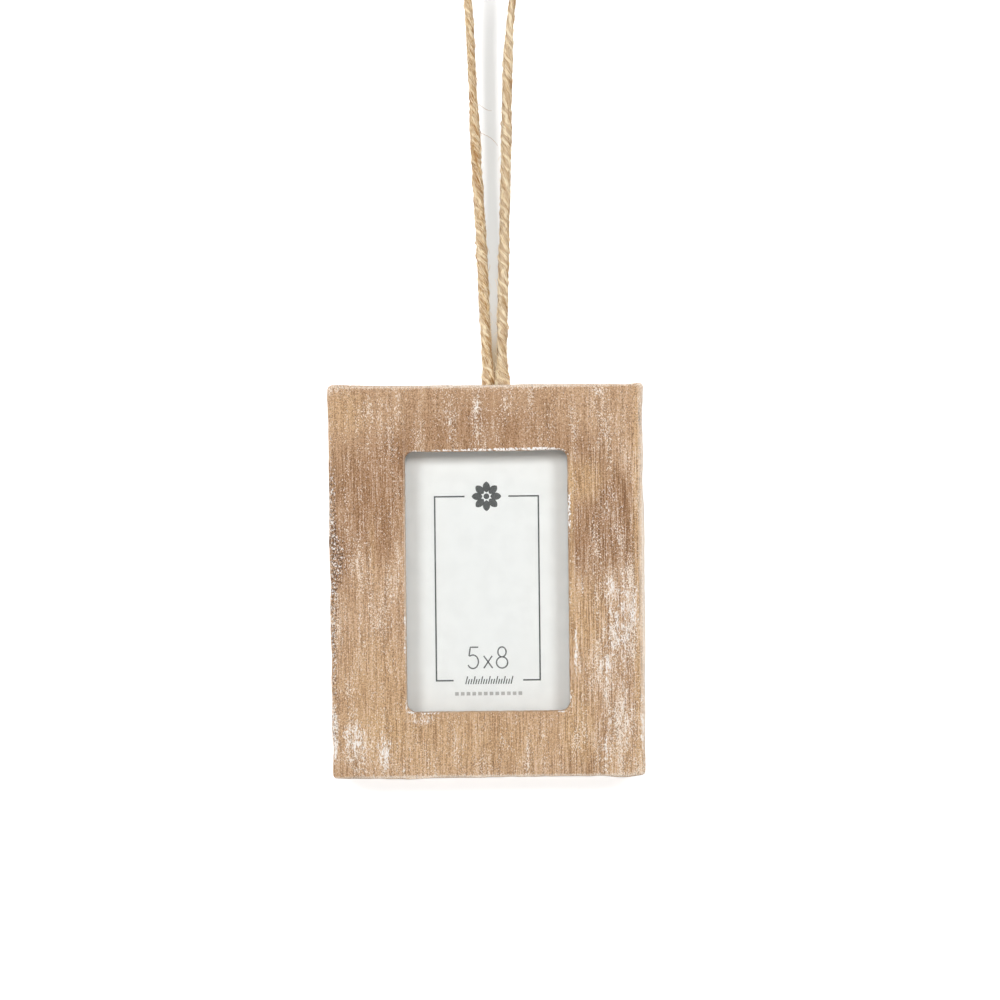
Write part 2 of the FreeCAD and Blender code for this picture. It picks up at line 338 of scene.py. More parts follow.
def board_surface(board):
    """The board as one closed surface: a section carried round the perimeter. The section goes
    from the window's rim over the front, round the outer edge, over the back, down the rabbet's
    wall, along the lip's back and up the window's wall. The rounded edges are quarter circles,
    and slow random waves and dips wear the outlines."""
    (outer, outward), (window, inward), (rabbet, _) = board_outlines(board)
    turn = np.linspace(0, 1, len(outer), endpoint=False)
    front, back = BOARD_LOW.y, BOARD_HIGH.y
    lip_back = GLASS_LOW.y
    waves = 0.6 * wander(turn, 14, 3) + 0.4 * wander(turn, 90, 4)
    ragged = board.waviness * (0.35 * wander(turn, 60, 5) + 0.45 * wander(turn, 170, 6))
    worn = wear_depth(outer, OUTER_DIPS) + board.waviness * np.clip(waves, -0.4, 2) * 0.5
    worn += 0.2 * np.abs(ragged)
    chips = wear_depth(window, RIM_CHIPS)
    edge = outer - outward * worn[:, None]
    wall = window + inward * (0.3 * ragged - wear_depth(window, RIM_SWELLS))[:, None]
    rim = board.rim_ease * (1 + 0.25 * wander(turn, 50, 7)) + chips + 0.5 * np.abs(ragged)
    ease = board.edge_ease * (1 + 0.28 * wander(turn, 40, 8))
    rim, ease = np.clip(rim, 0.1 * MM, 1.4 * MM), np.clip(ease, 0.25 * MM, 1.4 * MM)
    rows = []

    def add_row(points, depth):
        rows.append(np.column_stack((points[:, 0], np.broadcast_to(depth, turn.shape), points[:, 1])))

    def add_rows(start, end, start_depth, end_depth, shares):
        for share in shares:
            add_row((1 - share) * start + share * end, (1 - share) * start_depth + share * end_depth)

    def add_round(line, inwards, radius, face, way, angles):
        for angle in angles:
            inset = np.reshape(radius * (1 - math.sin(angle)), (-1, 1))
            add_row(line + inwards * inset, face + way * radius * (1 - math.cos(angle)))

    back_ease = board.edge_ease
    quarter = np.linspace(0, np.pi / 2, 7)[1:]
    near_ends = (0.03, 0.5, 0.97, 1)
    inner_line, outer_line = wall + inward * rim[:, None], edge - outward * ease[:, None]
    add_rows(inner_line, outer_line, front, front, even_then_fine(62, 0.72))
    add_round(edge, -outward, ease, front, 1, quarter)
    add_rows(edge, edge, front + ease, back - back_ease, np.linspace(0, 1, 9)[1:-1])
    add_round(edge, -outward, back_ease, back, -1, np.linspace(np.pi / 2, 0, 5))
    add_rows(edge - outward * back_ease, rabbet, back, back, np.linspace(0, 1, 9)[1:])
    add_rows(rabbet, rabbet, back, lip_back, near_ends)
    add_rows(rabbet, wall, lip_back, lip_back, near_ends)
    add_rows(wall, wall, lip_back, front + rim, (0.05, 0.3, 0.55, 0.8))
    add_round(wall, inward, rim, front, 1, quarter[::-1])
    surface = np.stack(rows, axis=1)
    return relieved(surface.reshape(-1, 3)), grid_faces(len(turn), len(rows), True, True)


def relieved(points):
    """The same points with the front brushed along the grain: shallow waves, long in z."""
    along, up = from_corner(points)
    on_front = smooth_step(1.2 * MM, 0.2 * MM, points[:, 1] - BOARD_LOW.y)
    height = 0.045 * ripple(along, up, 2.6, 40, 11) + 0.03 * ripple(along, up, 0.9, 14, 12)
    points[:, 1] += on_front * np.clip(height, -0.09, 0.12) * MM
    return points


def closed_cylinder(name, radius, bottom, top, sides=64):
    """An upright cylinder about the z axis, for cutting a hole."""
    angle = np.linspace(0, 2 * np.pi, sides, endpoint=False)
    ring = np.column_stack((np.cos(angle) * radius, np.sin(angle) * radius))
    rings = [np.column_stack((ring, np.full(sides, level))) for level in (bottom, top)]
    return new_object(name, np.concatenate(rings), tube_faces(2, sides))


def finished_mesh(thing):
    """The mesh that a curve, or an object with modifiers, comes to."""
    bpy.context.view_layer.update()
    evaluated = thing.evaluated_get(bpy.context.evaluated_depsgraph_get())
    return bpy.data.meshes.new_from_object(evaluated)


def cut_away(piece, cutter):
    """Takes the cutter's volume out of the piece's mesh and removes the cutter."""
    hole = piece.modifiers.new("hole", "BOOLEAN")
    hole.operation, hole.solver, hole.object = "DIFFERENCE", "EXACT", cutter
    mesh = finished_mesh(piece)
    piece.modifiers.clear()
    piece.data = mesh
    cut_mesh = cutter.data
    bpy.data.objects.remove(cutter)
    bpy.data.meshes.remove(cut_mesh)


# Soft spots of each kind of wear on the board's front, in millimetres: along from the left edge
# and up from the bottom edge, half width, half height, and strength from 0 to 1.
WEAR = {
    "white_paint": (
        (75.8, 43, 5.2, 9.5, 0.44), (76.5, 41, 3.4, 7, 0.1), (73.5, 25, 6.5, 11.5, 0.38),
        (75, 8, 7, 8.5, 0.34), (71.8, 48.5, 1.4, 5, 0.22), (70.5, 33, 2.4, 7, 0.16),
        (63.4, 32.4, 0.55, 6.6, 0.72), (64.3, 29, 0.3, 3.5, 0.5), (65.2, 49, 0.35, 2.4, 0.5),
        (80.4, 14.6, 0.7, 6.6, 0.55), (70.9, 5.4, 0.3, 5.2, 0.55), (76.2, 21.9, 0.7, 1, 0.4),
        (78.6, 43.9, 0.6, 6.2, 0.2), (74, 40, 0.7, 4.6, 0.2), (71.6, 27.5, 0.5, 5.4, 0.25),
        (5.9, 10.2, 2.6, 5.5, 0.36), (13.7, 7, 1.9, 4.6, 0.42), (10, 9, 10, 9, 0.22),
        (0.8, 12, 0.9, 8, 0.5), (18.5, 2, 0.4, 1, 0.5), (7.6, 39.5, 0.35, 4.2, 0.36),
        (1, 40, 1.2, 30, 0.12), (11, 40, 7, 13, 0.18), (14.6, 91, 2.4, 8.5, 0.26),
        (9.4, 95, 1.4, 3.4, 0.3), (31.5, 93, 1.7, 7, 0.22), (38.5, 93.5, 1.4, 6.5, 0.24),
        (38.2, 96, 0.4, 2.6, 0.3), (24, 15.2, 3.6, 1.4, 0.55), (17.5, 51, 2.4, 10, 0.3),
        (10.5, 57.7, 0.4, 3, 0.4), (5, 57, 4.6, 8, 0.24), (72.3, 89.7, 4.2, 8, 0.26),
        (63.5, 91, 1.5, 5, 0.3), (70, 100.2, 1.4, 1.8, 0.45), (72.5, 70.9, 2.1, 5.5, 0.36),
        (74.5, 61.7, 2.4, 4, 0.3), (50.8, 8, 0.35, 6.5, 0.45), (40, 93, 28, 8, 0.1),
        (40, 6, 32, 6, 0.12), (72, 57, 8, 8, 0.16),
    ),
    "rubbed_edge": (
        (81.1, 52, 0.45, 52, 0.8), (80.2, 60, 1, 46, 0.42), (40, 0.6, 42, 0.8, 0.72),
        (40, 100.9, 42, 0.8, 0.74), (78, 1, 4, 1.2, 0.6), (1.2, 100.4, 2, 1.2, 0.7),
    ),
    "cream_line": (
        (81.25, 52, 0.42, 52, 0.9), (80.5, 55, 0.6, 50, 0.5), (42, 101.35, 42, 0.4, 0.45),
        (40, 0.3, 42, 0.4, 0.48), (19.5, 50.8, 0.3, 33, 0.45),
    ),
    "rough_wood": (
        (0.7, 73, 1.3, 12, 0.85), (1.2, 57.5, 2.6, 8.5, 0.62), (3.6, 56.5, 2.8, 7.5, 0.36),
        (0.8, 43.6, 1.4, 7.6, 0.85), (0.8, 12, 1, 6, 0.8), (0.8, 28, 1, 10, 0.8),
        (0.6, 92, 0.8, 6, 0.5), (75.4, 69.5, 0.9, 1.4, 0.7), (80.5, 78, 0.5, 5, 0.5),
        (80.5, 92, 0.5, 5, 0.6), (74.5, 10, 6, 6, 0.25), (14, 86, 3, 7, 0.25),
    ),
    "deep_tone_and_wall_shade": (
        (9, 73, 9, 13, 0.95), (17, 80, 6, 8, 0.75), (68, 64, 7, 10, 0.85),
        (40, 88.5, 24, 5.5, 0.75), (64, 82, 5, 6, 0.6), (75, 66, 5, 12, 0.75), (40, 96, 24, 4, 0.4),
        (2.5, 57.5, 3.4, 8.5, 0.9), (14, 62, 5, 8, 0.45), (64, 52, 3, 10, 0.35),
        (8, 24, 3, 14, 0.18), (72, 78, 6, 10, 0.3),
    ),
    "golden_tone": (
        (79.8, 50, 1.3, 50, 0.85), (64, 14, 4, 10, 0.75), (65.5, 40, 5, 10, 0.7),
        (66.5, 76.5, 4, 5, 0.8), (30, 9, 28, 8, 0.55), (12, 22, 9, 14, 0.5),
        (62.6, 74, 0.6, 9, 0.9), (62.6, 55, 0.6, 12, 0.6), (5, 95, 5, 5, 0.5),
        (11, 60, 0.8, 8, 0.4), (74, 5, 7, 5, 0.4),
    ),
    "dark_mark": (
        (80.3, 93, 0.3, 3.4, 0.8), (0.7, 12, 0.3, 3, 0.8), (18.9, 83, 0.8, 1.8, 0.6),
        (77.6, 63, 0.35, 3, 0.6), (68, 61.5, 0.6, 2.6, 0.6), (75.2, 69.5, 0.6, 1.2, 0.7),
        (62.2, 84.6, 1.2, 1.6, 0.5), (80.6, 78, 0.35, 4, 0.7), (80, 71, 0.3, 3, 0.6),
        # The two long lines in this row darken the board along its top edge and down its left edge.
        (30, 101.45, 28, 0.2, 0.9), (0.5, 45, 0.7, 34, 0.45), (1.8, 57, 1.6, 7, 0.25),
    ),
}
# White paint on the window's chipped rim, in the same way.
RIM_PAINT = (
    (22.5, 84.6, 3, 0.26, 0.7), (30, 84.7, 4, 0.32, 0.8), (38, 84.8, 4.5, 0.42, 0.95),
    (47, 84.85, 5.5, 0.5, 1), (54.5, 84.9, 3.5, 0.56, 1), (61, 84.35, 0.9, 0.35, 0.8),
    (62, 68.4, 0.62, 5.7, 1), (58.4, 84.75, 2.4, 0.38, 0.85), (61.75, 83.3, 0.25, 0.7, 0.5),
    (61.9, 55, 0.3, 5, 0.4), (19.35, 36, 0.3, 9, 0.6), (19.1, 41.3, 0.3, 0.8, 0.8),
    (19.1, 33.2, 0.3, 0.8, 0.8), (19.5, 19.2, 0.45, 1.5, 1), (20.7, 17.1, 1.1, 0.45, 1),
    (25.5, 16.8, 4, 0.32, 0.8), (61.8, 20.4, 0.45, 1.4, 1), (59.6, 17, 1.3, 0.4, 0.9),
)


def spotted(along, up, spots):
    """The sum of soft oval spots, each a bell curve, kept between 0 and 1."""
    total = np.zeros(len(along))
    for place_along, place_up, half_width, half_height, strength in spots:
        away = ((along - place_along) / half_width) ** 2 + ((up - place_up) / half_height) ** 2
        total += strength * np.exp(-away * away / 1.5)
    return np.clip(total, 0, 1)


def set_values(mesh, name, values):
    """Writes a number or a vector for each point as an attribute of the mesh."""
    values = np.asarray(values, np.float32)
    kind, field = ("FLOAT", "value") if values.ndim == 1 else ("FLOAT_VECTOR", "vector")
    mesh.attributes.new(name, kind, "POINT").data.foreach_set(field, values.ravel())


def paint_board_masks(mesh, board):
    """Writes the masks that the wood reads: wear, tone, and painted shade on the window's inner
    wall. On the front they follow the listed spots. Near the sharp edges of every side, rubbed
    wood shows within a millimetre or so of the edge."""
    points = np.zeros(len(mesh.vertices) * 3)
    mesh.vertices.foreach_get("co", points)
    points = points.reshape(-1, 3)
    along, up = from_corner(points)
    deep = (points[:, 1] - BOARD_LOW.y) / MM
    size = (BOARD_HIGH - BOARD_LOW) / MM
    window_half = (CARD_HIGH - CARD_LOW) / 2 / MM
    lip = board.lip_overlap / MM
    out_x = np.abs(along - size.x / 2) - (window_half.x - lip)
    out_z = np.abs(up - size.z / 2) - (window_half.z - lip)
    from_window = np.maximum(out_x, out_z)
    corner_along, corner_up = np.minimum(along, size.x - along), np.minimum(up, size.z - up)
    from_side = np.maximum(np.minimum(corner_along, corner_up), 0)
    from_face = np.maximum(np.minimum(deep, size.y - deep), 0)
    from_edge = np.minimum(np.hypot(from_side, from_face), np.hypot(corner_along, corner_up))

    on_front = smooth_step(2.4, 0.6, deep)
    on_wall = smooth_step(0.8, 0.3, from_window) * smooth_step(0.8, 1.6, deep)
    masks = {name: spotted(along, up, spots) * on_front for name, spots in WEAR.items()}
    masks["white_paint"] += 0.12 * (1 - on_front)
    masks["golden_tone"] += 0.25 * (1 - on_front)
    # Painted shade: the window's inner wall is darkened, as its recess is shaded.
    masks["deep_tone_and_wall_shade"] = np.maximum(masks["deep_tone_and_wall_shade"], 0.45 * on_wall)
    masks["rubbed_edge"] = np.clip(0.55 * smooth_step(1.1, 0.3, from_edge) + masks["rubbed_edge"], 0, 1)
    brushed = (0.80 + 0.45 * smooth_step(58, 66, along)) * (1 - 0.55 * smooth_step(82, 88, up))
    masks["brushed"] = 1 - (1 - brushed) * on_front
    on_rim = smooth_step(1.5, 0.4, from_window) * smooth_step(3, 1.5, deep)
    masks["rim_paint"] = spotted(along, up, RIM_PAINT) * on_rim
    for name, values in masks.items():
        set_values(mesh, name, values)


# Twine

# The route of the twine, in metres, from the hole's bottom up the left strand, over the hook and
# down the right strand.
TWINE_ROUTE = (
    (-0.0017, 0, -0.14225), (-0.0015, 0.0001, -0.1315), (-0.0022, 0.0003, -0.1205),
    (-0.0029, 0.0002, -0.099), (-0.0045, -0.0003, -0.068), (-0.0055, 0.0001, -0.0385),
    (-0.0066, 0.0003, -0.021), (-0.0082, 0.0001, -0.0118), (-0.0087, 0, -0.0042),
    (-0.0036, 0, 0.0013), (0.0039, 0, 0.0012), (0.0088, 0, -0.0043),
    (0.0083, -0.0001, -0.012), (0.0071, -0.0002, -0.022), (0.0044, 0.0002, -0.042),
    (0.0036, 0.0005, -0.072), (0.0026, 0.0001, -0.103), (0.0019, -0.0002, -0.1225),
    (0.00195, -0.0001, -0.132), (0.0017, 0, -0.14225),
)
SPLINE_STEPS = 40
FLARE_REACH = 5.0 * MM  # how far above the board the strands start to open out
LEFT_FLARE, RIGHT_FLARE = 0.26, 0.56
FIBRE_SLANT = 0.5  # of the fibres to that of the plies


def route_line():
    """Points along the smooth curve that the route's points control, as Blender works it out."""
    curve = bpy.data.curves.new("twine_route", "CURVE")
    curve.dimensions = "3D"
    spline = curve.splines.new("NURBS")
    spline.points.add(len(TWINE_ROUTE) - 1)
    for point, place in zip(spline.points, TWINE_ROUTE):
        point.co = (*place, 1)
    spline.order_u = 3
    spline.use_endpoint_u = True
    spline.resolution_u = SPLINE_STEPS
    holder = bpy.data.objects.new("twine_route", curve)
    bpy.context.scene.collection.objects.link(holder)
    mesh = finished_mesh(holder)
    line = np.array([vertex.co for vertex in mesh.vertices])
    bpy.data.objects.remove(holder)
    bpy.data.meshes.remove(mesh)
    bpy.data.curves.remove(curve)
    return line


class Line:
    """A smooth line read by distance: its points, and two directions square to it. The first is
    +Y made square to the line, the second is square to both, so the frame never twists."""

    def __init__(self, points):
        steps = np.linalg.norm(np.diff(points, axis=0), axis=1)
        keep = np.concatenate(([True], steps > 1e-7))
        self.points = points[keep]
        steps = np.linalg.norm(np.diff(self.points, axis=0), axis=1)
        self.distance = np.concatenate(([0], np.cumsum(steps)))
        self.length = self.distance[-1]

    def place(self, distance):
        return np.stack([np.interp(distance, self.distance, self.points[:, k]) for k in range(3)], -1)

    def sides(self, distance):
        step = 0.4 * MM
        ahead = self.place(np.clip(distance + step, 0, self.length))
        behind = self.place(np.clip(distance - step, 0, self.length))
        along = ahead - behind
        along /= np.linalg.norm(along, axis=-1, keepdims=True)
        first = np.array([0.0, 1.0, 0.0]) - along * along[..., 1:2]
        first /= np.linalg.norm(first, axis=-1, keepdims=True)
        return first, np.cross(along, first)

    def around(self, distance, angle, radius):
        """Points at a distance along, an angle round and a radius out."""
        first, second = self.sides(distance)
        out = first * np.cos(angle)[..., None] + second * np.sin(angle)[..., None]
        return self.place(distance) + out * radius[..., None]


def opening(line, distance):
    """How much thicker the strands are where they open out above the board, as a share."""
    height = line.place(distance)[..., 2] - BOARD_HIGH.z
    right = smooth_step(0.4, 0.6, distance / line.length)
    most = LEFT_FLARE + (RIGHT_FLARE - LEFT_FLARE) * right
    return most * smooth_step(FLARE_REACH, 0.3 * MM, height) * smooth_step(-1.2 * MM, 0.2 * MM, height)


def slimness(line, distance):
    """The strands' share of the usual thickness: fuller low down, and thinner further up."""
    height = line.place(distance)[..., 2] / MM
    left = 0.30 * smooth_step(-67, -56, height) - 0.10
    right = 0.34 * smooth_step(-50, -38, height) - 0.05
    less = np.where(distance < line.length / 2, left, right)
    return 1 - less * smooth_step(-12, -26, height)


def fibre_turn(twine, distance, angle):
    """An angle that stays the same along a fibre."""
    return angle + FIBRE_SLANT * 2 * np.pi * distance / twine.lay_pitch


def twine_radius(twine, line, distance, angle):
    """The twine's outline round its middle: the hull of round plies that go round it clockwise
    going up, with fibres as fine ridges and slow changes of thickness. Returns the radius, and
    how far each point is up from the valleys between the plies, from 0 to 1."""
    ply_turn = -2 * np.pi * distance / twine.lay_pitch
    plies = twine.plies
    middle = twine.diameter / 2 * 0.535
    ply = twine.diameter / 2 - middle
    share = distance / line.length
    lowest = 0.89
    wobble = 0.5 * wander(share, 34, 21) + 0.34 * wander(share, 110, 24)
    off_crown = np.mod(angle - ply_turn - wobble + np.pi / plies, 2 * np.pi / plies) - np.pi / plies
    sunk = np.clip(ply**2 - (middle * np.sin(off_crown)) ** 2, 0, None)
    hull = middle * np.cos(off_crown) + np.sqrt(sunk)
    hull = np.maximum(hull, lowest * twine.diameter / 2)
    fibre_angle = fibre_turn(twine, distance, angle)
    ridges = np.zeros(np.broadcast(distance, angle).shape)
    for count, waves, tall in ((5, 40, 0.5), (8, 60, 0.7), (13, 80, 1), (19, 120, 1.1), (26, 150, 1.1)):
        phase = 2.6 * wander(share, waves, 30 + count)
        height = tall * np.clip(0.6 + 0.6 * wander(share, waves, 60 + count), 0, 2)
        ridges += height * np.cos(count * fibre_angle + phase)
    thickness = 1.02 + 0.035 * wander(share, 40, 22) + 0.03 * wander(share, 120, 23)
    thickness = thickness * (1 + opening(line, distance)) * slimness(line, distance)
    crown = (hull / (twine.diameter / 2) - lowest) / (1 - lowest)
    return hull * thickness + 0.022 * MM * ridges, np.clip(crown, 0, 1)


def twine_surface(twine, line, stations=1480, sides=64):
    """The twine as one tube: the outline above carried along the line, closed at both ends."""
    distance = np.linspace(0, line.length, stations)[:, None]
    angle = np.linspace(0, 2 * np.pi, sides, endpoint=False)[None, :]
    radius, crown = twine_radius(twine, line, distance, angle)
    distance, angle = np.broadcast_arrays(distance, angle)
    points = line.around(distance, angle, radius).reshape(-1, 3)
    fibre_angle = fibre_turn(twine, distance, angle)
    round_it = twine.diameter / 2 * np.stack((np.cos(fibre_angle), np.sin(fibre_angle)), axis=-1)
    fibre_place = np.concatenate((round_it, distance[..., None]), axis=-1).reshape(-1, 3)
    return points, tube_faces(stations, sides), fibre_place, crown.reshape(-1)


def paleness_and_painted_light(twine, points, sides=64):
    """How pale the twine is at each point: paler on the right strand and in patches, and
    lighter on each strand's left side, which is painted light."""
    across = points.reshape(-1, sides, 3)[..., 0]
    leftward = (across.mean(axis=1, keepdims=True) - across) / (twine.diameter / 2)
    share = np.linspace(0, 1, len(across))[:, None]
    pale = 0.06 + 0.76 * smooth_step(0.4, 0.6, share) + 0.18 * wander(share, 40, 25)
    # The leftward part is painted light: each strand is lighter on its left side.
    return np.clip(pale + 0.28 * leftward, 0, 0.95).ravel()


def hair_tubes(centres, thickness):
    """Thin three-sided tubes: centres has the shape (hairs, stations, 3), and each tube tapers
    to its two ends. Returns points and faces."""
    hairs, stations, _ = centres.shape
    along = np.gradient(centres, axis=1)
    along /= np.linalg.norm(along, axis=-1, keepdims=True) + 1e-12
    first = np.cross(along, np.array([0.31, 0.42, 0.85]))
    first /= np.linalg.norm(first, axis=-1, keepdims=True) + 1e-12
    second = np.cross(along, first)
    share = np.linspace(0, 1, stations)
    taper = 0.25 + 0.75 * np.sin(np.pi * (share * 0.9 + 0.05))
    radius = thickness[:, None] * taper[None, :]
    corners = []
    for angle in (0, 2 * np.pi / 3, 4 * np.pi / 3):
        out = first * math.cos(angle) + second * math.sin(angle)
        corners.append(centres + out * radius[..., None])
    points = np.stack(corners, axis=2).reshape(-1, 3)
    one = grid_faces(stations, 3, False, True)
    start = (np.arange(hairs) * stations * 3)[:, None, None]
    quads = (one[None] + start).reshape(-1, 4).tolist()
    first_cap = (np.array([[2, 1, 0]]) + start[:, 0]).tolist()
    last_cap = (np.array([[0, 1, 2]]) + (stations - 1) * 3 + start[:, 0]).tolist()
    return points, quads + first_cap + last_cap


def loose_fibres(twine, line):
    """Fibres that lie on the twine and lift off it: each follows the fibres' slant at a height
    that grows along it by a power law. Most hug the twine, a few stand well out, and some are
    the frayed ones where the strands meet the board."""
    dice = np.random.default_rng(5)
    hairs, stations = twine.loose_fibres, 7
    share = np.linspace(0, 1, stations)[None, :]
    ends = 9.6 * MM
    reach = dice.uniform(1.4, 6.5, (hairs, 1)) * MM
    start = dice.uniform(ends, line.length - ends, (hairs, 1))
    frayed = dice.uniform(0, 1, (hairs, 1)) < 0.07
    start = np.where(frayed, line.length - ends - dice.uniform(0, 3.5, (hairs, 1)) * MM, start)
    way = np.where(frayed, -1, dice.choice((-1, 1), (hairs, 1)))
    distance = np.clip(start + way * reach * share, ends, line.length - ends)
    slant = dice.uniform(0.3, 1.5, (hairs, 1)) * 2 * np.pi / twine.lay_pitch
    angle = dice.uniform(0, 2 * np.pi, (hairs, 1)) - slant * (distance - start)
    angle = angle + dice.normal(0, 0.30, (hairs, 1)) * share**2
    base, _ = twine_radius(twine, line, distance, angle)
    stands_out = dice.choice((0, 1), (hairs, 1), p=(0.9, 0.1))
    lift = np.abs(dice.normal(0, 0.16, (hairs, 1))) + stands_out * dice.uniform(0.2, 0.9, (hairs, 1))
    radius = base + (0.03 + lift * share ** dice.uniform(1.2, 2.6, (hairs, 1))) * MM
    radius[:, :1] -= 0.06 * MM
    return line.around(distance, angle, radius), dice.uniform(0.028, 0.085, hairs) * MM


# Two fibres that have come away between the strands, in millimetres.
STRAY_FIBRES = (
    ((-4.4, -0.6, -66.2), (-2.85, -1.2, -67.2), (-1.57, -1.5, -67.8), (-0.28, -1.5, -68.5),
     (0.74, -1.3, -69.6), (1.5, -1.1, -70.6)),
    ((-4.8, -0.6, -58.6), (-3.8, -1.0, -59.5), (-2.52, -1.3, -60.3), (-1.24, -1.3, -61.3),
     (0.05, -1.2, -61.4)),
)


# Print


def swept_strokes(strokes, width, front, back):
    """Flat strokes of one width and a thin film's thickness, each a rectangle carried along a
    line of points (x, z), closed at both ends."""
    points, faces = [], []
    for stroke in strokes:
        line = np.asarray(stroke, float)
        along = np.gradient(line, axis=0)
        along /= np.linalg.norm(along, axis=1, keepdims=True)
        across = np.column_stack((-along[:, 1], along[:, 0])) * width / 2
        rows = []
        for side, depth in ((1, front), (1, back), (-1, back), (-1, front)):
            edge = line + side * across
            rows.append(np.column_stack((edge[:, 0], np.full(len(line), depth), edge[:, 1])))
        start = sum(len(block) for block in points)
        points.append(np.stack(rows, axis=1).reshape(-1, 3))
        faces += [[start + number for number in face] for face in tube_faces(len(line), 4)]
    return np.concatenate(points), faces


def arc_points(centre_x, centre_z, radius_x, radius_z, start, end, count=22):
    """Points of an oval arc, its angles in degrees from +x towards +z."""
    angle = np.radians(np.linspace(start, end, count))
    return np.column_stack((centre_x + radius_x * np.cos(angle), centre_z + radius_z * np.sin(angle)))


def numeral_strokes(height):
    """A plain five, a times sign and an eight, drawn in a box of height one and scaled, with the
    lower left corner of the row at the origin."""
    five = np.concatenate((
        np.linspace((0.50, 0.99), (0.13, 0.99), 5),
        np.linspace((0.13, 0.99), (0.07, 0.60), 6)[1:],
        arc_points(0.245, 0.315, 0.255, 0.315, 132, -152, 30)[1:],
    ))
    cross = [np.linspace((0.75, 0.58), (1.16, 0.01), 5), np.linspace((1.14, 0.58), (0.75, 0.01), 5)]
    upper = arc_points(1.60, 0.76, 0.19, 0.23, -88, 274, 34)
    lower = arc_points(1.60, 0.27, 0.26, 0.26, 92, 454, 38)
    return [stroke * height for stroke in (five, *cross, upper, lower)]


# The print under the border, in millimetres from the card's middle and up from the board's foot:
# the numerals' corner, then each row's start, its number of marks and the step between them.
NUMERALS_AT = (-5.35, 27.95)
TICK_ROW = ((-5.9, 23.9), 19, 0.655)
DASH_ROW = ((-8.7, 21.4), 12, 1.5)
TALL_TICK, SHORT_TICK, TICK_WIDTH = 2.0, 1.3, 0.27
DASH_LENGTH, DASH_WIDTH = 0.95, 0.9


def mark_row(row, reach):
    """One short stroke for each mark of a row. Reach gives each stroke's run by its number."""
    start, count, step = row
    starts = [np.array(start) + (number * step, 0) for number in range(count)]
    return [np.linspace(at, at + reach(number), 3) * MM for number, at in enumerate(starts)]


def tick_reach(number):
    """Every third tick is a tall one, and all lean."""
    tall = TALL_TICK if number % 3 == 0 else SHORT_TICK
    return np.array([tall * 0.25, tall])


# Materials


def solid(colour):
    """A colour of three values with the fourth one that nodes take. A socket stays as it is."""
    return colour if isinstance(colour, bpy.types.NodeSocket) else (*colour, 1.0)


class Nodes:
    """A node tree, with short calls for the nodes that are used most. A value is a socket or a
    constant, and a colour is a socket or three values."""

    def __init__(self, tree, place=None):
        self.tree, self.place = tree, place

    def join(self, value, socket):
        """Links a socket to another, or sets a constant on it."""
        if isinstance(value, bpy.types.NodeSocket):
            self.tree.links.new(value, socket)
        else:
            socket.default_value = value

    def add(self, kind, inputs=None, **settings):
        made = self.tree.nodes.new(kind)
        for name, value in settings.items():
            setattr(made, name, value)
        for key, value in (inputs or {}).items():
            self.join(value, made.inputs[key])
        return made

    def work_out(self, operation, first, second, clamp=False):
        settings = {"operation": operation, "use_clamp": clamp}
        return self.add("ShaderNodeMath", {0: first, 1: second}, **settings).outputs[0]

    def plus(self, first, second, clamp=False):
        return self.work_out("ADD", first, second, clamp)

    def minus(self, first, second):
        return self.work_out("SUBTRACT", first, second)

    def times(self, first, second):
        return self.work_out("MULTIPLY", first, second)

    def larger(self, first, second):
        return self.work_out("MAXIMUM", first, second)

    def blend(self, share, under, over, way="MIX"):
        """Two colours as one, where share is how much of the second one shows."""
        inputs = {0: share, 6: solid(under), 7: solid(over)}
        return self.add("ShaderNodeMix", inputs, data_type="RGBA", blend_type=way).outputs[2]

    def spread(self, value, low, high, to_low=0.0, to_high=1.0):
        """The value's range low to high made to_low to to_high, smoothly, and kept inside it."""
        inputs = {0: value, 1: low, 2: high, 3: to_low, 4: to_high}
        return self.add("ShaderNodeMapRange", inputs, interpolation_type="SMOOTHSTEP").outputs[0]

    def mask(self, name):
        return self.add("ShaderNodeAttribute", attribute_name=name).outputs["Fac"]

    def own_place(self):
        """The object's own coordinates, unless the tree has another place to go by."""
        if self.place is None:
            self.place = self.add("ShaderNodeTexCoord").outputs["Object"]
        return self.place

    def placed(self, group, **inputs):
        """A shared group at the tree's place, with the rest of its inputs given by name."""
        inputs = {"Place": self.own_place(), **inputs}
        return self.add("ShaderNodeGroup", inputs, node_tree=group).outputs[0]

    def streak(self, across, along, detail=3.0, shift=0.0):
        return self.placed(streaks_group(), Across=across, Along=along, Detail=detail, Shift=shift)

    def fleck(self, across, along, cover, edge, shift=0.0):
        rates = {"Across": across, "Along": along}
        return self.placed(flecks_group(), **rates, Cover=cover, Edge=edge, Shift=shift)

    def seen(self):
        """One for what is seen directly, in a mirror or through glass, and nought else."""
        path = self.add("ShaderNodeLightPath").outputs
        seen = self.plus(path["Is Camera Ray"], path["Is Glossy Ray"], True)
        return self.plus(seen, path["Is Transmission Ray"], True)


class Material(Nodes):
    """A new material's nodes. Streaks and flecks go by the object's own coordinates, or by a
    vector attribute of the mesh."""

    def __init__(self, name, place_name=None):
        self.made = bpy.data.materials.new(name)
        self.made.use_nodes = True
        super().__init__(self.made.node_tree)
        self.shader = self.tree.nodes["Principled BSDF"]
        if place_name:
            held = self.add("ShaderNodeAttribute", attribute_name=place_name)
            self.place = held.outputs["Vector"]

    def set(self, name, value):
        self.join(value, self.shader.inputs[name])

    def bump(self, height, distance, strength=1.0):
        inputs = {"Height": height, "Distance": distance, "Strength": strength}
        self.set("Normal", self.add("ShaderNodeBump", inputs).outputs[0])

    def show(self, surface):
        """Shows another surface in place of the Principled BSDF's."""
        self.tree.nodes.remove(self.shader)
        self.join(surface, self.tree.nodes["Material Output"].inputs["Surface"])


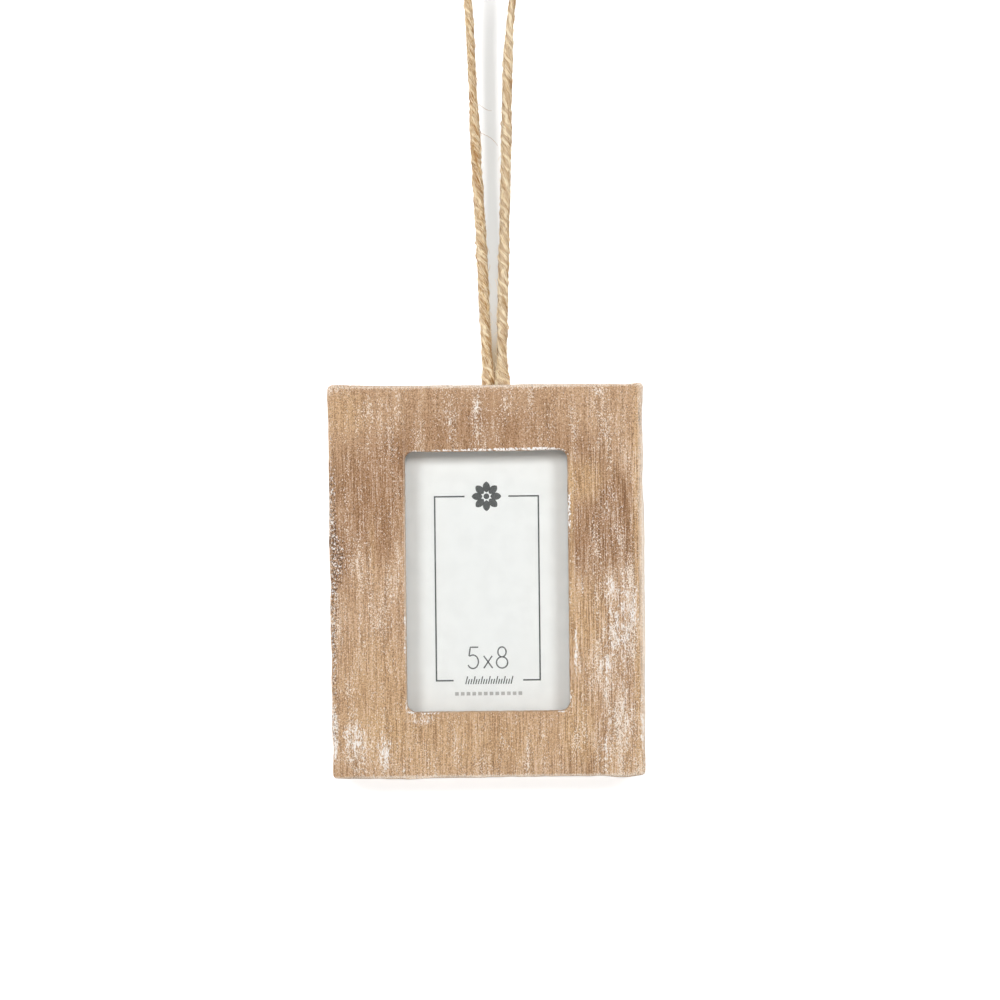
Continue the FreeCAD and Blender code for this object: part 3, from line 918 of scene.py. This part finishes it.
def new_group(name, numbers, result):
    """A shared group that takes a place and numbers, given with their usual values, and returns
    one number. Returns its nodes, its inputs and the socket that takes the result."""
    group = bpy.data.node_groups.new(name, "ShaderNodeTree")
    group.interface.new_socket(name="Place", in_out="INPUT", socket_type="NodeSocketVector")
    for label, usual in numbers.items():
        socket = group.interface.new_socket(name=label, in_out="INPUT", socket_type="NodeSocketFloat")
        socket.default_value = usual
    group.interface.new_socket(name=result, in_out="OUTPUT", socket_type="NodeSocketFloat")
    given = group.nodes.new("NodeGroupInput").outputs
    return Nodes(group, given["Place"]), given, group.nodes.new("NodeGroupOutput").inputs[result]


def streaks_group():
    """Fibre streaks: noise drawn out along the third axis of its place. Across and Along are
    how many streaks there are to a metre in each direction."""
    found = bpy.data.node_groups.get("Fibre Streaks")
    if found:
        return found
    numbers = {"Across": 2500.0, "Along": 150.0, "Detail": 3.0, "Shift": 0.0}
    nodes, given, result = new_group("Fibre Streaks", numbers, "Streak")
    rates = {0: given["Across"], 1: given["Across"], 2: given["Along"]}
    rates = nodes.add("ShaderNodeCombineXYZ", rates).outputs[0]
    drawn = nodes.add("ShaderNodeVectorMath", {0: given["Place"], 1: rates}, operation="MULTIPLY")
    moved = nodes.add("ShaderNodeVectorMath", {0: drawn.outputs[0], 1: given["Shift"]})
    inputs = {"Vector": moved.outputs[0], "Scale": 1.0, "Detail": given["Detail"], "Roughness": 0.6}
    nodes.join(nodes.add("ShaderNodeTexNoise", inputs).outputs[0], result)
    return nodes.tree


def flecks_group():
    """Flecks: spots of streak noise above a level. Cover, from 0 to 1, is how much they cover."""
    found = bpy.data.node_groups.get("Flecks")
    if found:
        return found
    numbers = {"Across": 2500.0, "Along": 700.0, "Cover": 0.2, "Edge": 0.05, "Shift": 0.0}
    nodes, given, result = new_group("Flecks", numbers, "Mask")
    streak = nodes.streak(given["Across"], given["Along"], 2.0, given["Shift"])
    level = nodes.minus(0.76, nodes.times(given["Cover"], 0.40))
    nodes.join(nodes.spread(streak, level, nodes.plus(level, given["Edge"])), result)
    return nodes.tree


def wood_material(board):
    """Whitewashed wood. Long fibres and a fine speckle move each zone's colour between dark
    fibre and cream, pores and dents go darker, and white paint lies in fine dashes where its
    mask says, on the rubbed edges and on the window's chipped rim."""
    wood = Material("whitewashed_wood")
    fibre = wood.streak(3800, 110, 1)
    speck = wood.streak(4000, 3100, 1, 2)
    band = wood.streak(500, 24, 2, 9)
    clump = wood.streak(900, 420, 2, 14)
    slow = wood.streak(80, 30, 2, 4)
    spray = wood.streak(330, 70, 2, 27)
    rough, white = wood.mask("rough_wood"), wood.mask("white_paint")
    off_middle = wood.minus(fibre, 0.5)

    zone = wood.blend(wood.spread(slow, 0.45, 0.65, 0, 0.22), board.warm_wood, board.deep_wood)
    # Deep tone spots on the front, and painted shade on the window's inner wall.
    zone = wood.blend(wood.times(wood.mask("deep_tone_and_wall_shade"), 0.85), zone, board.deep_wood)
    zone = wood.blend(wood.times(wood.mask("golden_tone"), 0.75), zone, board.golden_wood)
    shaded = wood.blend(1.0, zone, board.shade, "MULTIPLY")
    creamy = wood.blend(0.55, zone, board.cream)
    lines = wood.times(off_middle, wood.mask("brushed"))
    light = wood.plus(wood.times(lines, 1.8), wood.times(speck, 1.6))
    light = wood.minus(wood.plus(light, wood.times(band, 0.6)), 0.70)
    colour = wood.blend(wood.spread(light, 0.50, 0.05), zone, shaded)
    colour = wood.blend(wood.spread(light, 0.50, 1.05), colour, creamy)

    pores = wood.times(wood.fleck(4000, 1300, 0.34, 0.07, 6), 0.8)
    marks = wood.fleck(3400, 1700, wood.times(wood.mask("dark_mark"), 0.9), 0.12, 13)
    dents = wood.fleck(2200, 1900, wood.times(rough, 0.78), 0.07, 17)
    pits = wood.larger(wood.larger(pores, marks), dents)
    patchy = wood.times(wood.times(white, 1.1), wood.spread(clump, 0.36, 0.64, 0.62, 1.2))
    sprayed = wood.plus(wood.minus(spray, 0.5), 0.36)
    thin = wood.fleck(3600, 2200, wood.plus(wood.times(patchy, 0.42), sprayed), 0.06, 21)
    dashes = wood.fleck(4400, 1200, wood.plus(patchy, wood.times(off_middle, 0.9)), 0.10, 33)
    crumbs = wood.fleck(2100, 1800, wood.times(rough, 0.53), 0.06, 61)
    thick = wood.larger(dashes, crumbs)
    rub = wood.fleck(3600, 2400, wood.times(wood.mask("rubbed_edge"), 0.75), 0.14, 41)
    chipped = wood.fleck(2300, 1700, wood.times(wood.mask("rim_paint"), 0.92), 0.10, 50)
    layers = (
        (pits, 0.88, board.pore), (thin, 0.85, board.cream), (thick, 0.88, board.whitewash),
        (rub, 0.8, board.cream), (wood.mask("cream_line"), 0.8, board.cream),
        (chipped, 1.0, board.whitewash),
    )
    for layer, share, over in layers:
        colour = wood.blend(wood.times(layer, share), colour, over)
    wood.set("Base Color", colour)

    painted = wood.larger(thick, chipped)
    wood.set("Roughness", wood.spread(wood.plus(fibre, painted), 0.3, 1.4, 0.84, 0.64))
    height = wood.plus(wood.times(lines, 0.7), wood.times(speck, 0.6))
    height = wood.plus(height, wood.times(painted, 0.3))
    wood.bump(wood.minus(height, wood.times(pits, 0.6)), 0.10 * MM, 0.7)
    return wood.made


def jute_material(twine, loose=False):
    """Jute: fine fibres of mixed tone that follow the twine's own fibre map, with painted shade
    down between the plies. Each loose fibre has a tone of its own."""
    light, dark = twine.light_jute, twine.dark_jute
    if loose:
        jute = Material("loose_jute")
        fine = jute.streak(900, 400)
        own = jute.mask("hair_tone")
        layers = ((jute.spread(own, 0.15, 0.75), light), (jute.spread(own, 0.36, 0.1, 0, 0.9), dark))
    else:
        jute = Material("jute_twine", "fibre_place")
        fine = jute.streak(2700, 480, 2, 3)
        broad = jute.streak(1300, 160, 2, 8)
        patch = jute.streak(260, 130, 2, 5)
        knots = jute.fleck(3000, 900, 0.38, 0.08, 12)
        layers = (
            (jute.spread(broad, 0.46, 0.62, 0, 0.7), light),
            (jute.spread(fine, 0.50, 0.60, 0, 0.85), light),
            (jute.spread(fine, 0.49, 0.38, 0, 0.75), dark),
            (jute.spread(patch, 0.50, 0.64, 0, 0.5), dark),
            (jute.spread(patch, 0.48, 0.36, 0, 0.5), light),
            (jute.times(knots, 0.6), dark),
            # Paleness and painted light: patches, the paler right strand, and painted light on each
            # strand's left side.
            (jute.mask("pale_and_painted_light"), light),
            # Painted shade: darker down between the plies, where the ply_crown mask is low.
            (jute.spread(jute.mask("ply_crown"), 0.40, 0, 0, 0.50), dark),
        )
        jute.bump(jute.plus(fine, jute.times(broad, 0.8)), 0.12 * MM)
    colour = twine.mid_jute
    for share, over in layers:
        colour = jute.blend(share, colour, over)
    jute.set("Base Color", colour)
    jute.set("Roughness", jute.spread(fine, 0.3, 0.7, 0.9, 0.65))
    jute.set("Sheen Weight", 0.15)
    jute.set("Sheen Roughness", 0.5)
    return jute.made


def glass_material(insert):
    """Clear glass: nothing but a faint reflection that grows at a slant, all of it given by the
    face that the light enters by, so that lamps shine through."""
    glass = Material("clear_glass")
    smear = glass.spread(glass.streak(60, 45, 2), 0.35, 0.7, 0.015, 0.06)
    clear = glass.add("ShaderNodeBsdfTransparent", {"Color": (0.995, 0.997, 0.995, 1)})
    gloss = glass.add("ShaderNodeBsdfGlossy", {"Color": (1, 1, 1, 1), "Roughness": smear})
    root = math.sqrt(insert.glass_reflection)
    slant = glass.add("ShaderNodeFresnel", {"IOR": (1 + root) / (1 - root)}).outputs[0]
    path = glass.add("ShaderNodeLightPath").outputs
    from_behind = glass.add("ShaderNodeNewGeometry").outputs["Backfacing"]
    dim = glass.plus(path["Is Shadow Ray"], path["Is Diffuse Ray"], True)
    share = glass.times(slant, glass.minus(1.0, glass.plus(dim, from_behind, True)))
    both = {0: share, 1: clear.outputs[0], 2: gloss.outputs[0]}
    glass.show(glass.add("ShaderNodeMixShader", both).outputs[0])
    return glass.made


def card_material(name, colour, tooth=0.015, roughness=0.72):
    """Smooth card or board: faint mottling, a few tiny fibres and a fine tooth."""
    card = Material(name)
    mottle = card.streak(240, 240, 3, 5)
    fibres = card.fleck(1500, 1500, 0.16, 0.08)
    darker = [0.93 * value for value in colour]
    shade = card.blend(card.spread(mottle, 0.35, 0.65, 0, 0.45), colour, darker)
    card.set("Base Color", card.blend(card.times(fibres, 0.25), shade, darker))
    card.set("Roughness", card.spread(mottle, 0.3, 0.7, roughness - 0.05, roughness + 0.08))
    card.bump(card.streak(5000, 5000, 2, 7), tooth * MM, 0.6)
    return card.made


def hardboard_material(back):
    """Smooth brown hardboard: mottled, with short lighter and darker fibres at all angles."""
    board = Material("brown_hardboard")
    dark = back.hardboard_dark
    light = [min(1.0, 1.6 * value) for value in back.hardboard]
    mottle = board.streak(150, 150, 4, 1)
    fibres = board.streak(1900, 900, 3, 6)
    scuffs = board.fleck(420, 130, 0.16, 0.16, 9)
    colour = board.blend(board.spread(fibres, 0.38, 0.66, 0, 0.8), back.hardboard, dark)
    colour = board.blend(board.spread(mottle, 0.42, 0.66, 0, 0.4), colour, dark)
    board.set("Base Color", board.blend(board.times(scuffs, 0.35), colour, light))
    board.set("Roughness", board.spread(mottle, 0.3, 0.7, 0.42, 0.62))
    board.bump(fibres, 0.03 * MM, 0.6)
    return board.made


def steel_material(name, colour, brushed):
    """Plated steel: drawn brush lines or a fine turned grain, with dull patches and scuffs."""
    steel = Material(name)
    dull = steel.streak(420, 420, 3, 4)
    scuffs = steel.fleck(2600, 700, 0.18, 0.06, 8)
    darker = [0.78 * value for value in colour]
    steel.set("Base Color", steel.blend(steel.spread(dull, 0.38, 0.64, 0, 0.6), colour, darker))
    steel.set("Metallic", 1.0)
    rough = steel.spread(dull, 0.3, 0.7, 0.24, 0.42)
    steel.set("Roughness", steel.plus(rough, steel.times(scuffs, 0.15)))
    steel.bump(steel.streak(brushed, brushed / 14, 2), 0.012 * MM, 0.5)
    return steel.made


def finish_node(node, material):
    """Gives a CAD node its material."""
    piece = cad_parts[node]
    if not piece.material_slots:
        piece.data.materials.append(material)
    for held in piece.material_slots:
        held.material = material


# Operators


class PICTUREFRAME_OT_board(bpy.types.Operator):
    """Make the whitewashed board with its window, rabbet, worn edges and twine hole"""

    bl_idname = "picture_frame.board"
    bl_label = "Board"

    def execute(self, context):
        board = context.scene.picture_frame_board
        points, faces = board_surface(board)
        piece = make_piece("worn_board", points, faces, "whitewashed_wood", wood_material(board))
        top = BOARD_HIGH.z
        cutter = closed_cylinder("hole", board.hole_diameter / 2, top - board.hole_depth, top + 5 * MM)
        cut_away(piece, cutter)
        smooth(piece.data, 38)
        paint_board_masks(piece.data, board)
        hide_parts("frame_board")
        return {"FINISHED"}


class PICTUREFRAME_OT_twine(bpy.types.Operator):
    """Lay the three-ply jute twine along its route, with its loose fibres"""

    bl_idname = "picture_frame.twine"
    bl_label = "Twine"

    def execute(self, context):
        twine = context.scene.picture_frame_twine
        line = Line(route_line())
        points, faces, fibre_place, crown = twine_surface(twine, line)
        rope = make_piece("jute_loop", points, faces, "jute_twine", jute_material(twine), 75)
        set_values(rope.data, "fibre_place", fibre_place)
        set_values(rope.data, "ply_crown", crown)
        set_values(rope.data, "pale_and_painted_light", paleness_and_painted_light(twine, points))
        centres, thickness = loose_fibres(twine, line)
        for stray_points in STRAY_FIBRES:
            stray = Line(np.array(stray_points) * MM)
            stray_line = stray.place(np.linspace(0, stray.length, centres.shape[1]))
            centres = np.concatenate((centres, stray_line[None]))
            thickness = np.append(thickness, 0.06 * MM)
        hairs = make_piece(
            "loose_fibres", *hair_tubes(centres, thickness), "jute_twine",
            jute_material(twine, True), 80,
        )
        tones = np.random.default_rng(9).uniform(0, 1, len(centres))
        tones[-len(STRAY_FIBRES):] = 0.05
        set_values(hairs.data, "hair_tone", np.repeat(tones, centres.shape[1] * 3))
        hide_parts("twine_loop")
        return {"FINISHED"}


def print_marks(name, strokes, width, ink_name, ink):
    """Strokes printed in one ink, given from the card's middle and the board's foot."""
    corner = np.array([CARD_MIDDLE.x, BOARD_LOW.z])
    moved = [stroke + corner for stroke in strokes]
    points, faces = swept_strokes(moved, width, PRINT_LOW.y, PRINT_HIGH.y)
    make_piece(name, points, faces, "grey_ink", card_material(ink_name, ink, 0.01, 0.6))


class PICTUREFRAME_OT_insert(bpy.types.Operator):
    """Finish the glass and the card, and print the size numerals and the rows of marks"""

    bl_idname = "picture_frame.insert"
    bl_label = "Glass and Insert"

    def execute(self, context):
        insert = context.scene.picture_frame_insert
        finish_node("glass_pane", glass_material(insert))
        finish_node("photo_insert", card_material("white_card", insert.card))
        finish_node("insert_print", card_material("grey_ink", insert.ink, 0.01, 0.6))
        numerals = numeral_strokes(insert.numeral_height)
        numerals = [stroke + np.array(NUMERALS_AT) * MM for stroke in numerals]
        ticks = mark_row(TICK_ROW, tick_reach)
        dashes = mark_row(DASH_ROW, lambda number: np.array([DASH_LENGTH, 0]))
        stroke = insert.numeral_stroke
        print_marks("size_numerals", numerals, stroke, "numeral_ink", insert.numeral_ink)
        print_marks("scale_ticks", ticks, TICK_WIDTH * MM, "tick_ink", insert.ink)
        print_marks("pale_dashes", dashes, DASH_WIDTH * MM, "pale_ink", insert.pale_ink)
        return {"FINISHED"}


class PICTUREFRAME_OT_back(bpy.types.Operator):
    """Finish the filler, the backing board, the turn buttons and their screws"""

    bl_idname = "picture_frame.back"
    bl_label = "Back and Fittings"

    def execute(self, context):
        back = context.scene.picture_frame_back
        finish_node("filler_card", card_material("grey_board", back.grey_board, 0.04, 0.8))
        finish_node("backing_board", hardboard_material(back))
        plating = steel_material("plated_steel", back.plating, 3200.0)
        screw = steel_material("screw_steel", back.screw, 5200.0)
        for side in ("left", "right"):
            finish_node("turn_button_" + side, plating)
            finish_node("button_screw_" + side, screw)
        return {"FINISHED"}


def backdrop_material(stage):
    """Plain pale paper that the camera sees from its front only, and that lets every lamp's
    light through. It keeps the shadows that fall on it and glows a little, so that it is
    white. Between the strands of the twine it has painted shade: a grey haze high up and a
    darker painted shadow low down."""
    paper = Material("backdrop_paper")
    camera = paper.add("ShaderNodeLightPath").outputs["Is Camera Ray"]
    from_behind = paper.add("ShaderNodeNewGeometry").outputs["Backfacing"]
    seen = paper.times(camera, paper.minus(1.0, from_behind))
    gap = paper.mask("painted_shade_between_strands")
    colour, glow = (0.8, 0.8, 0.8), (1.0, 1.0, 1.0)
    # The painted shade between the strands: haze, then shadow, then the dark foot.
    ramp = ((0.0, 0.5, stage.painted_gap_haze), (0.5, 0.8, stage.painted_gap_shade), (0.8, 1.0, stage.painted_gap_foot))
    for start, end, shade in ramp:
        share = paper.work_out("DIVIDE", paper.minus(gap, start), end - start, True)
        colour, glow = paper.blend(share, colour, shade), paper.blend(share, glow, shade)
    sheet = paper.add("ShaderNodeBsdfDiffuse", {"Color": colour}).outputs[0]
    light = paper.add("ShaderNodeEmission", {"Color": glow, "Strength": stage.paper_glow}).outputs[0]
    both = paper.add("ShaderNodeAddShader", {0: sheet, 1: light}).outputs[0]
    clear = paper.add("ShaderNodeBsdfTransparent").outputs[0]
    paper.show(paper.add("ShaderNodeMixShader", {0: seen, 1: clear, 2: both}).outputs[0])
    return paper.made


# How much painted shade the backdrop has between the strands, by height in millimetres.
PAINTED_GAP_SHADES = (
    (-133.2, 0), (-132.6, 1), (-130, 0.93), (-127.7, 0.86), (-123.8, 0.8), (-118.7, 0.65),
    (-111, 0.56), (-88, 0.5), (-58, 0.41), (-38.6, 0.35), (-34, 0.31), (-25, 0.2), (-12, 0),
)
BACKDROP_HALF_WIDTH, BACKDROP_TOP = 0.32, 0.24
FLOOR_REACH = 1.1


def backdrop_sheet(stage):
    """An upright sheet close behind the frame: a grid that is fine behind the twine, with a mask
    of how much painted shade each point has between the two strands."""
    low, half, fine = BOARD_LOW.z - stage.floor_drop, BACKDROP_HALF_WIDTH, 12 * MM
    across = np.concatenate(([-half], np.linspace(-fine, fine, 121), [half]))
    up = np.concatenate(([low], np.linspace(BOARD_HIGH.z - 3 * MM, -6 * MM, 65), [BACKDROP_TOP]))
    grid_x, grid_z = np.meshgrid(across, up)
    points = np.stack((grid_x, np.full(grid_x.shape, stage.backdrop_gap), grid_z), axis=-1)
    faces = grid_faces(len(up), len(across), False, False)
    route = np.array(TWINE_ROUTE)
    left, right = route[1:8], route[12:19][::-1]
    left_x = np.interp(grid_z, left[:, 2], left[:, 0])
    right_x = np.interp(grid_z, right[:, 2], right[:, 0])
    inside = np.minimum(grid_x - left_x, right_x - grid_x)
    half_gap = np.maximum((right_x - left_x) / 2, 0.1 * MM)
    # Painted shade by height, fading out towards each strand.
    heights, amounts = np.array(PAINTED_GAP_SHADES).T
    shade = np.interp(grid_z / MM, heights, amounts)
    slope = 0.45 + 0.42 * smooth_step(-110, -74, grid_z / MM)
    shade *= smooth_step(-0.05, slope, inside / half_gap)
    sheet = new_object("backdrop", points.reshape(-1, 3), faces, backdrop_material(stage))
    set_values(sheet.data, "painted_shade_between_strands", shade.reshape(-1))


def floor_material(stage):
    """A plain pale floor that keeps the object's shadow. It looks near white to the camera, and
    white further away."""
    floor = Material("pale_floor")
    floor.set("Base Color", (0.4, 0.4, 0.396, 1))
    floor.set("Roughness", 0.8)
    floor.set("Emission Color", (1, 1, 1, 1))
    away = floor.add("ShaderNodeVectorMath", {0: floor.own_place()}, operation="LENGTH")
    glow = floor.spread(away.outputs["Value"], 0.45, 0.8, stage.paper_glow, 1.0)
    floor.set("Emission Strength", floor.times(floor.seen(), glow))
    return floor.made


def floor_sheet(stage):
    """A level square under the object."""
    low = BOARD_LOW.z - stage.floor_drop
    ways = ((-1, -1), (1, -1), (1, 1), (-1, 1))
    corners = [(x * FLOOR_REACH, y * FLOOR_REACH, low) for x, y in ways]
    sheet = new_object("floor", corners, [(0, 1, 2, 3)], floor_material(stage))


def soft_lamp(name, place, width, height, power):
    """A rectangular lamp that faces the board's middle."""
    lamp = bpy.data.lights.new(name, "AREA")
    lamp.shape, lamp.size, lamp.size_y, lamp.energy = "RECTANGLE", width, height, power
    holder = bpy.data.objects.new(name, lamp)
    bpy.context.scene.collection.objects.link(holder)
    holder.location = place
    holder.rotation_mode = "QUATERNION"
    holder.rotation_quaternion = (BOARD_MIDDLE - Vector(place)).to_track_quat("-Z", "Y")


class PICTUREFRAME_OT_stage(bpy.types.Operator):
    """Set the camera, the soft lamps, the floor and the backdrop"""

    bl_idname = "picture_frame.stage"
    bl_label = "Stage"

    def execute(self, context):
        stage = context.scene.picture_frame_stage
        self.set_camera(context.scene, stage)
        backdrop_sheet(stage)
        floor_sheet(stage)
        for side, name in ((-1, "left"), (1, "right")):
            key = stage.key_power * (1 - stage.key_lean * side)
            softbox = stage.side_power * (1 - stage.side_lean * side)
            soft_lamp(name + "_key", (side * 0.586, -0.975, 0.197), 0.34, 0.36, key)
            soft_lamp(name + "_softbox", (side * 0.85, 0.10, -0.12), 0.4, 0.9, softbox)
        soft_lamp("front", (0.0, -1.1, 0.19), 0.24, 0.36, stage.front_power)
        soft_lamp("overhead", (0.0, 0.12, 0.75), 0.9, 0.4, stage.top_power)
        soft_lamp("rear", (0.1, 0.95, 0.35), 0.9, 0.6, stage.rear_power)
        self.set_world(context.scene, stage)
        context.scene.view_settings.view_transform = "Standard"
        return {"FINISHED"}

    def set_camera(self, scene, stage):
        """Straight at the front, turned about its own axis by the picture's small roll."""
        lens = bpy.data.cameras.new("camera")
        lens.sensor_width = 36
        lens.lens = lens.sensor_width * stage.camera_distance / stage.view_width
        lens.clip_start = 0.01
        camera = bpy.data.objects.new("camera", lens)
        scene.collection.objects.link(camera)
        cosine, sine = math.cos(stage.camera_roll), math.sin(stage.camera_roll)
        place = (stage.view_across, BOARD_LOW.y - stage.camera_distance, stage.view_height)
        turned = Matrix(((cosine, sine, 0), (0, 0, -1), (-sine, cosine, 0)))
        camera.matrix_world = Matrix.Translation(place) @ turned.to_4x4()
        scene.camera = camera

    def set_world(self, scene, stage):
        """White where it is seen directly, in a mirror or through glass, and a soft fill else."""
        world = bpy.data.worlds.new("studio")
        scene.world = world
        world.use_nodes = True
        nodes = Nodes(world.node_tree)
        background = world.node_tree.nodes["Background"].inputs
        nodes.join((1, 1, 1, 1), background["Color"])
        strength = nodes.add("ShaderNodeMapRange", {0: nodes.seen(), 3: stage.fill, 4: 1.0})
        nodes.join(strength.outputs[0], background["Strength"])


class PICTUREFRAME_PT_panel(bpy.types.Panel):
    """The picture frame's pieces and settings"""

    bl_idname = "PICTUREFRAME_PT_panel"
    bl_label = "Picture Frame"
    bl_space_type = "VIEW_3D"
    bl_region_type = "UI"
    bl_category = "Picture Frame"

    def draw(self, context):
        for operator, settings in zip(OPERATORS, SETTINGS.values()):
            box = self.layout.box()
            box.operator(operator.bl_idname)
            group = getattr(context.scene, "picture_frame_" + operator.bl_idname.split(".")[1])
            for name in settings.__annotations__:
                box.prop(group, name)


SETTINGS = {
    "board": BoardSettings,
    "twine": TwineSettings,
    "insert": InsertSettings,
    "back": BackSettings,
    "stage": StageSettings,
}
OPERATORS = (
    PICTUREFRAME_OT_board,
    PICTUREFRAME_OT_twine,
    PICTUREFRAME_OT_insert,
    PICTUREFRAME_OT_back,
    PICTUREFRAME_OT_stage,
)


def register():
    for group in (*SETTINGS.values(), *OPERATORS, PICTUREFRAME_PT_panel):
        bpy.utils.register_class(group)
    for name, group in SETTINGS.items():
        setattr(bpy.types.Scene, "picture_frame_" + name, bpy.props.PointerProperty(type=group))


def unregister():
    for name in SETTINGS:
        delattr(bpy.types.Scene, "picture_frame_" + name)
    for group in reversed((*SETTINGS.values(), *OPERATORS, PICTUREFRAME_PT_panel)):
        bpy.utils.unregister_class(group)


def main():
    """Makes every piece and the stage."""
    register()
    bpy.ops.picture_frame.board()
    bpy.ops.picture_frame.twine()
    bpy.ops.picture_frame.insert()
    bpy.ops.picture_frame.back()
    bpy.ops.picture_frame.stage()


if __name__ == "__main__":
    main()
